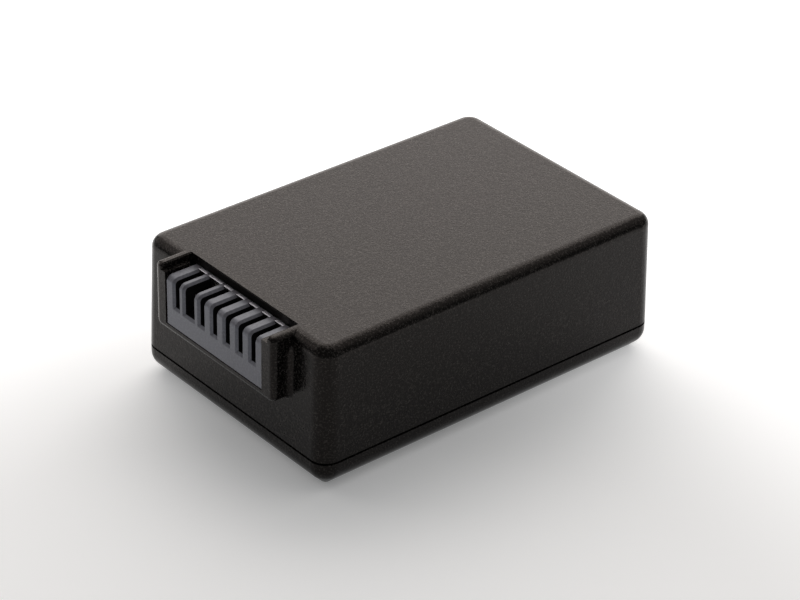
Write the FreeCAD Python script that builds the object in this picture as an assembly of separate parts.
import FreeCAD, Part
import os
from math import cos, pi, sin

# Battery pack for a handheld computer: two moulded case halves around a pair of flat cells, a protection
# board and a seven-slot blade connector that sits in a raised collar at one end.
# X runs across, Y along with the connector end at -Y, and Z up. The origin is the middle of the underside.
# All sizes are millimetres.

# Case
body_length = 64.4  # end to end at the seam, without the collar
body_width = 43.1
body_height = 23.3
wall = 1.3
wall_lean = 0.4  # each upper wall leans in this far between the seam and the top
corner_radius = 2.7
top_round = 1.9
bottom_bevel = 2.2  # slope between the lower walls and the flat underside
bevel_top_round = 2.6
bevel_foot_round = 1.0
seam_height = 4.52
seam_gap = 0.36  # the shadow line between the two halves
tongue_height = 1.4
tongue_clearance = 0.05
edge_break = 0.2  # the small bevel on moulded edges

# Collar and the notch in its top
collar_reach = 2.95  # how far it stands out from the end of the body at the seam
collar_foot_round = 1.1  # round on the two lower edges that run back to the body
collar_round = 0.8  # round along the rim of its front and the sides of its top
cheek = 1.5  # side wall beside the notch
ledge = 0.9  # step inside each cheek, a little above the rib tops
ledge_drop = 1.0  # step below the top of the case
collar_lip = 1.2  # wall under the connector

# Connector housing
slot_row = ("narrow", "wide", "narrow", "narrow", "narrow", "narrow", "narrow")  # from the -X end
slot_pitch = 3.0
slot_widths = {"narrow": 1.07, "wide": 2.25}
lead_in = 0.36  # chamfer on both sides of each slot, at the front and on top
slot_depth = 4.68
band_height = 3.37  # solid band below the slots
end_rib = 1.35
rib_round = 1.0
rib_drop = 0.1  # rib tops below the underside of the case top
housing_setback = 0.08
housing_left_gap = 0.3
housing_right_gap = 0.06
housing_floor_gap = 0.06
flange_reach = 1.9
flange_thickness = 0.85
flange_inset = 0.6
flange_gap = 0.05
peg_diameter = 1.2

# Contacts
contact_stock = 0.5
contact_overlap = 0.4  # how far the back plate stands past each side of its slot
contact_clearance = 0.05
spring_stock = 0.22
spring_height = 2.0
spring_drop = 1.7  # spring tops below the rib tops
spring_setback = 1.7
spring_pinch = 0.09
tail_width = 0.7
tail_lift = 0.5  # tails above the housing floor
tail_length_past_board = 0.5

# Board
board_standoff = 2.75
board_thickness = 1.0
board_side_gap = 1.0
board_end_gap = 0.4
board_floor_gap = 0.9
board_corner = 0.8
board_hole_clearance = 0.1
rail_thickness = 1.0
rail_grip = 1.2
rail_clearance = 0.1

# Cells and what holds them
cell_bay = 5.5  # room between the board and the cell lids
cell_side_room = 2.8
rib_clearance = 0.25
side_rib_thickness = 1.2
side_rib_count = 3
can_round = 2.2
can_end_bevel = 0.7
pad_thickness = 0.5
rear_pad_thickness = 0.5
pad_margin = 3.0
tape_thickness = 0.3
tape_margin = 1.5
terminal_height = 0.6
terminal_diameter = 3.0
weld_pad_width = 4.0
weld_pad_height = 3.0
weld_pad_offset = 10.0
insulator_thickness = 0.3
insulator_margin = 0.6
insulator_window = 0.5  # room round the terminal and the weld pad

# Strips
strip_thickness = 0.2
strip_width = 4.0
strip_end = 2.0
strap_foot = 2.6
fuse_length = 3.2
fuse_overhang = 0.5
fuse_thickness = 1.2

# Parts soldered to the board: across, up, and off the board
chip_size = (4.4, 3.0, 1.1)
transistor_size = (4.9, 3.9, 1.4)
resistor_size = (6.3, 3.2, 0.6)
thermistor_size = (1.6, 0.8, 0.8)
capacitor_size = (1.6, 0.8, 0.8)
lead_reach = 0.9
lead_stock = 0.2
lead_width = 0.4
chip_lead_pitch = 0.95
chip_lead_pairs = 3
transistor_lead_pitch = 1.27
transistor_lead_pairs = 4
solder_row_gap = 1.6
solder_edge_gap = 1.75  # room between the rails and the outermost parts
capacitor_count = 3
capacitor_pitch = 2.4

# Modelling limits
tolerance = 1e-4
least_radius = 0.3
overrun = 1.0  # how far a cutting solid passes the face that it opens

# Worked out from the sizes above
V = FreeCAD.Vector
seam_bottom = seam_height - seam_gap / 2
seam_top = seam_height + seam_gap / 2
rebate_top = seam_top + tongue_height
tongue_inset = wall / 2
ceiling = body_height - wall
ledge_height = body_height - ledge_drop
overall_length = body_length + collar_reach
front = -overall_length / 2
body_middle = collar_reach / 2
body_front = body_middle - body_length / 2
body_rear = body_middle + body_length / 2


def lean_at(z):
    """How far an upper wall has leaned in at this height."""
    return wall_lean * (z - seam_top) / (body_height - seam_top)


rib_top = ceiling - rib_drop
slot_floor = rib_top - slot_depth
housing_bottom = slot_floor - band_height
pocket_floor = housing_bottom - housing_floor_gap
collar_bottom = pocket_floor - collar_lip
slot_count = len(slot_row)
slot_mouth = slot_widths["narrow"] + 2 * lead_in
housing_width = slot_pitch * (slot_count - 1) + slot_mouth + 2 * end_rib
pocket_left = -housing_width / 2 - housing_left_gap
pocket_right = housing_width / 2 + housing_right_gap
notch_width = 2 * (housing_width / 2 + max(housing_left_gap, housing_right_gap) + ledge)
collar_width = notch_width + 2 * cheek
housing_front = front + housing_setback
end_wall_inside = body_front + lean_at(ceiling) + wall
flange_front = end_wall_inside + flange_gap
housing_rear = flange_front + flange_thickness
notch_rear = housing_rear + contact_clearance
groove_depth = contact_stock + contact_clearance
plate_rear = housing_rear
plate_front = plate_rear - contact_stock
tail_bottom = housing_bottom + tail_lift

board_front = housing_rear + board_standoff
board_rear = board_front + board_thickness
board_width = body_width - 2 * (wall + board_side_gap)
board_bottom = wall + board_floor_gap
board_top = ceiling - board_end_gap

cell_width = body_width - 2 * (wall + cell_side_room)
cell_front = board_rear + cell_bay
rear_wall_inside = body_rear - lean_at(ceiling) - wall
cell_rear = rear_wall_inside - rear_pad_thickness
cell_thickness = (ceiling - wall - 2 * pad_thickness - tape_thickness) / 2
lower_cell_middle = wall + pad_thickness + cell_thickness / 2
upper_cell_middle = ceiling - pad_thickness - cell_thickness / 2
link_rear = cell_front - terminal_height
link_front = link_rear - strip_thickness


# Plain shapes
def box(x0, x1, y0, y1, z0, z1):
    """Block between two opposite corners."""
    return Part.makeBox(x1 - x0, y1 - y0, z1 - z0, V(x0, y0, z0))


def closed_wire(edges):
    """Joins edges that run in order, with straight lines where one ends short of the next."""
    loop = []
    for edge, following in zip(edges, edges[1:] + edges[:1]):
        loop.append(edge)
        end = edge.valueAt(edge.LastParameter)
        start = following.valueAt(following.FirstParameter)
        if end.distanceToPoint(start) > tolerance:
            loop.append(Part.makeLine(end, start))
    return Part.Wire(loop)


def rounded_rectangle(width, height, radius, centre, normal, across):
    """Outline with equal corners, in the plane of the normal, with its width along the given direction."""
    up = normal.cross(across)
    corners = ((1, 1), (-1, 1), (-1, -1), (1, -1))
    arcs = []
    for quarter, (side, end) in enumerate(corners):
        middle = centre + across * (side * (width / 2 - radius)) + up * (end * (height / 2 - radius))
        circle = Part.Circle(middle, normal, radius)
        circle.XAxis = across
        arcs.append(circle.toShape(quarter * pi / 2, (quarter + 1) * pi / 2))
    return closed_wire(arcs)


def plan(inset, radius, z):
    """Outline of the body at one height, set in from its size at the seam."""
    return rounded_rectangle(body_width - 2 * inset, body_length - 2 * inset, radius,
                             V(0, body_middle, z), V(0, 0, 1), V(1, 0, 0))


def prism(wire, along):
    """Solid swept from a flat outline."""
    return Part.Face(wire).extrude(along)


def polygon_prism(points, along):
    """Solid swept from a flat polygon."""
    return prism(Part.makePolygon(list(points) + [points[0]]), along)


def joined(shapes):
    """One solid from shapes that meet."""
    first, rest = shapes[0], list(shapes[1:])
    return first.fuse(rest).removeSplitter()


# Case halves
def drafted_solid(inset, top):
    """Upper body between the seam and a flat top: leaning walls that meet in round corners."""
    half_width = body_width / 2 - inset
    half_length = body_length / 2 - inset
    lean = lean_at(top)
    solid = Part.makeWedge(-half_width, 0, -half_length, lean - half_length, lean - half_width,
                           half_width, top - seam_top, half_length, half_length - lean, half_width - lean)
    solid.rotate(V(0, 0, 0), V(1, 0, 0), 90)
    solid.translate(V(0, body_middle, seam_top))
    upright = [edge for edge in solid.Edges if edge.BoundBox.ZLength > tolerance]
    return solid.makeFillet(max(corner_radius - inset, least_radius), upright)


def edge_spans(solid):
    """Every edge of a solid with the box that holds it."""
    return [(edge, edge.BoundBox) for edge in solid.Edges]


def edges_at_height(solid, z):
    """Edges that lie flat at one height."""
    return [edge for edge, span in edge_spans(solid) if abs(span.ZMin - z) + span.ZLength < tolerance]


def tray_solid():
    """Outside of the lower body: upright walls, a bevel and a flat underside, with both bends rounded."""
    solid = prism(plan(0, corner_radius, 0), V(0, 0, seam_bottom))
    solid = solid.makeChamfer(bottom_bevel, edges_at_height(solid, 0))
    solid = solid.makeFillet(bevel_top_round, edges_at_height(solid, bottom_bevel))
    return solid.makeFillet(bevel_foot_round, edges_at_height(solid, 0))


def tray_hollow():
    """Inside of the lower body, with the bevel that keeps its wall even."""
    corner = max(corner_radius - wall, least_radius)
    solid = prism(plan(wall, corner, wall), V(0, 0, rebate_top - wall + overrun))
    bevel = min(max(bottom_bevel - wall * (2 - 2 ** 0.5), least_radius), corner - tolerance)
    return solid.makeChamfer(bevel, edges_at_height(solid, wall))


def collar_block():
    """Rounded block that stands out of the end and runs back into the body."""
    half = collar_width / 2
    root = notch_rear + collar_foot_round
    block = box(-half, half, front, root, collar_bottom, body_height)
    under = collar_bottom + tolerance
    foot = [edge for edge, span in edge_spans(block) if span.YLength > tolerance and span.ZMax < under]
    block = block.makeFillet(collar_foot_round, foot)
    ahead = front + tolerance
    top = body_height - tolerance
    rim = []
    for edge, span in edge_spans(block):
        on_front = span.YMax < ahead
        on_top = span.ZMin > top and span.YMin < root - tolerance
        if on_front or on_top:
            rim.append(edge)
    return block.makeFillet(collar_round, rim)


def outer_shell():
    """Outside of the upper half: the drafted body with a rounded top edge, and the collar on its end."""
    body = drafted_solid(0, body_height)
    crown_round = min(top_round, corner_radius - tolerance)
    body = body.makeFillet(crown_round, edges_at_height(body, body_height))
    return joined([body, collar_block()])


def wall_ribs(y0, y1, reach):
    """Pair of upright ribs on the two side walls, each ending at the given distance from the middle."""
    root = body_width / 2 - wall / 2 - wall_lean / 2
    foot = rebate_top + edge_break
    right = box(reach, root, y0, y1, foot, ceiling + wall / 2)
    left = box(-root, -reach, y0, y1, foot, ceiling + wall / 2)
    return [right, left]


def inner_ribs():
    """Ribs that keep the cells in the middle, and the rails that grip the board."""
    ribs = []
    pitch = (cell_rear - cell_front) / side_rib_count
    for place in range(side_rib_count):
        middle = cell_front + pitch * (2 * place + 1) / 2
        half = side_rib_thickness / 2
        ribs += wall_ribs(middle - half, middle + half, cell_width / 2 + rib_clearance)
    grip = board_width / 2 - rail_grip
    ribs += wall_ribs(board_front - rail_clearance - rail_thickness, board_front - rail_clearance, grip)
    ribs += wall_ribs(board_rear + rail_clearance, board_rear + rail_clearance + rail_thickness, grip)
    return ribs


def soften_notch(shell):
    """Breaks the two edges of the notch that run along the cheeks, on the collar's top."""
    edges = []
    for edge, span in edge_spans(shell):
        on_top = span.ZMin > body_height - tolerance
        at_cheek = abs(abs(span.Center.x) - notch_width / 2) + span.XLength < tolerance
        if on_top and at_cheek:
            edges.append(edge)
    return shell.makeChamfer(edge_break, edges)


def upper_case():
    """Deep case half with the collar, the notch and pocket for the connector, and the ribs inside.

    Behind the end wall the notch is open to the inside of the case.
    """
    shell = outer_shell().cut(drafted_solid(wall, ceiling))
    rebate_outline = plan(tongue_inset, corner_radius - tongue_inset, seam_top - overrun)
    rebate = prism(rebate_outline, V(0, 0, tongue_height + overrun))
    shell = joined([shell] + inner_ribs())
    shell = shell.cut(rebate)
    notch_half = notch_width / 2
    mouth = front - overrun
    above = body_height + overrun
    notch = box(-notch_half, notch_half, mouth, notch_rear, ledge_height, above)
    throat = box(-notch_half, notch_half, end_wall_inside, notch_rear, ceiling - overrun, above)
    pocket = box(pocket_left, pocket_right, mouth, notch_rear, pocket_floor, above)
    shell = shell.cut([notch, throat, pocket]).removeSplitter()
    return soften_notch(shell)


def bottom_cover():
    """Shallow case half with the tongue that enters the upper half."""
    outside = tray_solid()
    tongue_outline = plan(tongue_inset + tongue_clearance, corner_radius - tongue_inset, seam_bottom)
    tongue = prism(tongue_outline, V(0, 0, rebate_top - seam_bottom))
    return joined([outside, tongue]).cut(tray_hollow())


# Connector
def slot_places():
    """Middle and inner width of each slot, from -X to +X."""
    first = -slot_pitch * (slot_count - 1) / 2
    places = []
    for place, kind in enumerate(slot_row):
        places.append((first + slot_pitch * place, slot_widths[kind]))
    return places


def rib(x0, x1, chamfer_left, chamfer_right):
    """One rib: rounded at its top front edge, with lead-in chamfers along the slots beside it."""
    foot = slot_floor - band_height / 2
    start = V(x0, housing_front, foot)
    bend_start = V(x0, housing_front, rib_top - rib_round)
    bend_end = V(x0, housing_front + rib_round, rib_top)
    centre = V(x0, housing_front + rib_round, rib_top - rib_round)
    bend_middle = centre + V(0, -cos(pi / 4), sin(pi / 4)) * rib_round
    rear_top = V(x0, housing_rear, rib_top)
    rear_foot = V(x0, housing_rear, foot)
    outline = Part.Wire([
        Part.makeLine(start, bend_start),
        Part.Arc(bend_start, bend_middle, bend_end).toShape(),
        Part.makeLine(bend_end, rear_top),
        Part.makeLine(rear_top, rear_foot),
        Part.makeLine(rear_foot, start),
    ])
    solid = prism(outline, V(x1 - x0, 0, 0))
    sides = [x for x, wanted in ((x0, chamfer_left), (x1, chamfer_right)) if wanted]
    edges = []
    for edge in solid.Edges:
        span = edge.BoundBox
        flat_to_side = span.XLength < tolerance
        at_front_or_top = span.YMax < housing_rear - tolerance or span.ZMin > rib_top - tolerance
        if flat_to_side and at_front_or_top and span.ZMax > foot + tolerance:
            if any(abs(span.Center.x - x) < tolerance for x in sides):
                edges.append(edge)
    return solid.makeChamfer(lead_in, edges)


def contact_groove(middle, width):
    """Rear channel that holds the back plate of one contact."""
    half = width / 2 + contact_overlap + contact_clearance
    return box(middle - half, middle + half, housing_rear - groove_depth, housing_rear + overrun,
               tail_bottom, rib_top + overrun)


def housing_feet():
    """Two feet from the flanges to the board, each with a peg in the board."""
    half = housing_width / 2
    feet = []
    for side in (-1, 1):
        inner = side * (half + contact_clearance)
        outer = side * (half + flange_reach)
        foot_top = tail_bottom + flange_reach
        x0, x1 = sorted((inner, outer))
        feet.append(box(x0, x1, flange_front, board_front, tail_bottom, foot_top))
        peg = V((inner + outer) / 2, board_front - flange_thickness, (tail_bottom + foot_top) / 2)
        peg_length = board_thickness + flange_thickness
        feet.append(Part.makeCylinder(peg_diameter / 2, peg_length, peg, V(0, 1, 0)))
    return feet


def connector_housing():
    """Comb of ribs on a solid band, with flanges behind the end wall and feet on the board."""
    half = housing_width / 2
    band = box(-half, half, housing_front, housing_rear, housing_bottom, slot_floor)
    flange = box(-half - flange_reach, half + flange_reach, flange_front, housing_rear,
                 housing_bottom + flange_inset, slot_floor)
    places = slot_places()
    lefts = [-half] + [middle + width / 2 for middle, width in places]
    rights = [middle - width / 2 for middle, width in places] + [half]
    pieces = [band, flange] + housing_feet()
    for place, (x0, x1) in enumerate(zip(lefts, rights)):
        pieces.append(rib(x0, x1, place > 0, place < slot_count))
    grooves = [contact_groove(middle, width) for middle, width in places]
    return joined(pieces).cut(grooves).removeSplitter()


def contact_spring(middle, side, width):
    """One forward spring of a contact, bent in to pinch a blade and flared at its tip."""
    outer = width / 2 - contact_clearance
    inner = outer - spring_stock
    tip = housing_front + spring_setback
    length = plate_front - tip
    bend = tip + length / 4
    outline = [
        (outer, plate_front),
        (outer - spring_pinch, bend),
        (outer, tip),
        (inner, tip),
        (inner - spring_pinch, bend),
        (inner, plate_front),
    ]
    z = rib_top - spring_drop - spring_height
    points = [V(middle + side * x, y, z) for x, y in outline]
    return polygon_prism(points, V(0, 0, spring_height))


def contact(middle, width):
    """Stamped contact: back plate across the rear of its slot, two springs and a tail through the board."""
    half = width / 2 + contact_overlap
    plate = box(middle - half, middle + half, plate_front, plate_rear, tail_bottom, rib_top)
    tail_end = board_rear + tail_length_past_board
    tail = box(middle - tail_width / 2, middle + tail_width / 2, plate_front, tail_end,
               tail_bottom, tail_bottom + contact_stock)
    springs = [contact_spring(middle, side, width) for side in (-1, 1)]
    return joined([plate, tail] + springs)


# Board and what is soldered to it
def circuit_board():
    """Upright board with holes for the contact tails and the housing pegs."""
    middle_z = (board_bottom + board_top) / 2
    outline = rounded_rectangle(board_width, board_top - board_bottom, board_corner,
                                V(0, board_front, middle_z), V(0, -1, 0), V(1, 0, 0))
    board = prism(outline, V(0, board_thickness, 0))
    half = tail_width / 2 + board_hole_clearance
    hole_bottom = tail_bottom - board_hole_clearance
    hole_top = tail_bottom + contact_stock + board_hole_clearance
    holes = []
    for middle, width in slot_places():
        holes.append(box(middle - half, middle + half, board_front - overrun, board_rear + overrun,
                         hole_bottom, hole_top))
    peg_x = (housing_width + contact_clearance + flange_reach) / 2
    peg_hole = peg_diameter / 2 + board_hole_clearance
    for side in (-1, 1):
        start = V(side * peg_x, board_front - overrun, tail_bottom + flange_reach / 2)
        holes.append(Part.makeCylinder(peg_hole, board_thickness + 2 * overrun, start, V(0, 1, 0)))
    return board.cut(holes)


def leaded_package(x, z, size, pairs, pitch):
    """Moulded package on the rear of the board, with bent leads above and below."""
    across, up, off = size
    lift = lead_stock / 2
    body = box(x - across / 2, x + across / 2, board_rear + lift, board_rear + off, z - up / 2, z + up / 2)
    top_edges = [edge for edge in body.Edges if edge.BoundBox.YMin > board_rear + off - tolerance]
    pieces = [body.makeChamfer(lead_stock, top_edges)]
    half_up = up / 2
    knee = lead_reach / 2
    mid = board_rear + off / 2
    for place in range(pairs):
        lead_x = x + pitch * (place - (pairs - 1) / 2) - lead_width / 2
        for side in (-1, 1):
            outline = [
                (half_up - lead_stock, mid),
                (half_up + knee, mid),
                (half_up + knee, board_rear + lead_stock),
                (half_up + lead_reach, board_rear + lead_stock),
                (half_up + lead_reach, board_rear),
                (half_up + knee - lead_stock, board_rear),
                (half_up + knee - lead_stock, mid - lead_stock),
                (half_up - lead_stock, mid - lead_stock),
            ]
            points = [V(lead_x, y, z + side * reach) for reach, y in outline]
            pieces.append(polygon_prism(points, V(lead_width, 0, 0)))
    return joined(pieces)


def chip_block(x, z, size):
    """Small two-ended part that lies flat on the rear of the board, with raised end caps."""
    across, up, off = size
    cap = across / 5
    lift = off / 8
    body = box(x - across / 2 + cap, x + across / 2 - cap, board_rear + lift, board_rear + off - lift,
               z - up / 2 + lift, z + up / 2 - lift)
    ends = []
    for x0 in (x - across / 2, x + across / 2 - cap):
        ends.append(box(x0, x0 + cap, board_rear, board_rear + off, z - up / 2, z + up / 2))
    return joined([body] + ends)


# Cells and what joins them
def cell(middle_z):
    """Sealed can with its rear end bevelled, and the terminal rivet and weld pad on its lid."""
    outline = rounded_rectangle(cell_width, cell_thickness, min(can_round, cell_thickness / 2 - tolerance),
                                V(0, cell_front, middle_z), V(0, -1, 0), V(1, 0, 0))
    can = prism(outline, V(0, cell_rear - cell_front, 0))
    rear_edges = [edge for edge in can.Edges if edge.BoundBox.YMin > cell_rear - tolerance]
    can = can.makeChamfer(can_end_bevel, rear_edges)
    lid_middle = V(0, cell_front, middle_z)
    rivet = Part.makeCylinder(terminal_diameter / 2, terminal_height, lid_middle, V(0, -1, 0))
    half = weld_pad_height / 2
    weld_pad = box(weld_pad_offset - weld_pad_width / 2, weld_pad_offset + weld_pad_width / 2,
                   link_rear, cell_front, middle_z - half, middle_z + half)
    return joined([can, rivet, weld_pad])


def lid_insulator(middle_z):
    """Sheet over a cell lid, cut away round the terminal and the weld pad."""
    height = cell_thickness - 2 * insulator_margin
    corner = min(max(can_round - insulator_margin, least_radius), height / 2 - tolerance)
    outline = rounded_rectangle(cell_width - 2 * insulator_margin, height, corner,
                                V(0, cell_front - insulator_thickness, middle_z), V(0, -1, 0), V(1, 0, 0))
    sheet = prism(outline, V(0, insulator_thickness, 0))
    start = V(0, cell_front + overrun, middle_z)
    hole_radius = terminal_diameter / 2 + insulator_window
    rivet_hole = Part.makeCylinder(hole_radius, 2 * overrun, start, V(0, -1, 0))
    half_x = weld_pad_width / 2 + insulator_window
    half_z = weld_pad_height / 2 + insulator_window
    window = box(weld_pad_offset - half_x, weld_pad_offset + half_x,
                 cell_front - overrun, cell_front + overrun, middle_z - half_z, middle_z + half_z)
    return sheet.cut([rivet_hole, window])


def link(x):
    """Strip that joins the same pole of both cells."""
    return box(x - strip_width / 2, x + strip_width / 2, link_front, link_rear,
               lower_cell_middle - strip_end, upper_cell_middle + strip_end)


def strap(x):
    """Channel-shaped strip from a link to the board, with a foot on each."""
    middle_z = (lower_cell_middle + upper_cell_middle) / 2
    outline = [
        (link_front, middle_z),
        (link_front, middle_z + strap_foot),
        (link_front - strip_thickness, middle_z + strap_foot),
        (link_front - strip_thickness, middle_z + strip_thickness),
        (board_rear + strip_thickness, middle_z + strip_thickness),
        (board_rear + strip_thickness, middle_z + strap_foot),
        (board_rear, middle_z + strap_foot),
        (board_rear, middle_z),
    ]
    points = [V(x - strip_width / 2, y, z) for y, z in outline]
    return polygon_prism(points, V(strip_width, 0, 0))


def thermal_fuse(x):
    """Strap whose middle is the resettable fuse disc in its wrap."""
    middle_y = (board_rear + link_front) / 2
    middle_z = (lower_cell_middle + upper_cell_middle) / 2 + strip_thickness / 2
    half = strip_width / 2 + fuse_overhang
    body = box(x - half, x + half, middle_y - fuse_length / 2, middle_y + fuse_length / 2,
               middle_z - fuse_thickness / 2, middle_z + fuse_thickness / 2)
    return joined([strap(x), body])


def flat_pad(margin, z0, z1):
    """Sheet under, between or over the cells, set in from their edges."""
    half = cell_width / 2 - margin
    return box(-half, half, cell_front + margin, cell_rear - margin, z0, z1)


def rear_pad():
    """Foam between the cells and the far end wall."""
    half = cell_width / 2 - pad_margin
    return box(-half, half, cell_rear, rear_wall_inside, lower_cell_middle, upper_cell_middle)


# All the pieces, each under its own name
def all_pieces():
    """Every piece of the pack by name."""
    upper_row = (tail_bottom + contact_stock + board_top) / 2 + solder_row_gap / 2
    lower_row = (board_bottom + tail_bottom) / 2
    solder_end = board_width / 2 - rail_grip - solder_edge_gap
    lower_top = wall + pad_thickness + cell_thickness
    pieces = {
        "upper_case": upper_case(),
        "bottom_cover": bottom_cover(),
        "connector_housing": connector_housing(),
        "circuit_board": circuit_board(),
        "protection_chip": leaded_package(0, upper_row, chip_size, chip_lead_pairs, chip_lead_pitch),
        "cell_lower": cell(lower_cell_middle),
        "cell_upper": cell(upper_cell_middle),
        "lid_insulator_lower": lid_insulator(lower_cell_middle),
        "lid_insulator_upper": lid_insulator(upper_cell_middle),
        "negative_link": link(0),
        "positive_link": link(weld_pad_offset),
        "positive_lead": strap(weld_pad_offset),
        "thermal_fuse": thermal_fuse(0),
        "cell_tape": flat_pad(tape_margin, lower_top, lower_top + tape_thickness),
        "bottom_pad": flat_pad(pad_margin, wall, wall + pad_thickness),
        "top_pad": flat_pad(pad_margin, ceiling - pad_thickness, ceiling),
        "rear_pad": rear_pad(),
    }
    for place, (middle, width) in enumerate(slot_places()):
        pieces[f"contact_{place + 1}"] = contact(middle, width)
    transistor_width = transistor_size[0]
    for place in (0, 1):
        x = transistor_width / 2 - solder_end + (transistor_width + solder_row_gap) * place
        pieces[f"power_transistor_{place + 1}"] = leaded_package(
            x, lower_row, transistor_size, transistor_lead_pairs, transistor_lead_pitch)
    pieces["sense_resistor"] = chip_block(solder_end - resistor_size[0] / 2, lower_row, resistor_size)
    pieces["thermistor"] = chip_block(solder_end - thermistor_size[0] / 2, upper_row, thermistor_size)
    row = []
    for place in range(capacitor_count):
        x = capacitor_size[0] / 2 - solder_end + capacitor_pitch * place
        row.append(chip_block(x, upper_row, capacitor_size))
    pieces["capacitors"] = Part.makeCompound(row)
    return pieces


os.makedirs("parts", exist_ok=True)
for name, shape in all_pieces().items():
    shape.exportStep(f"parts/{name}.step")
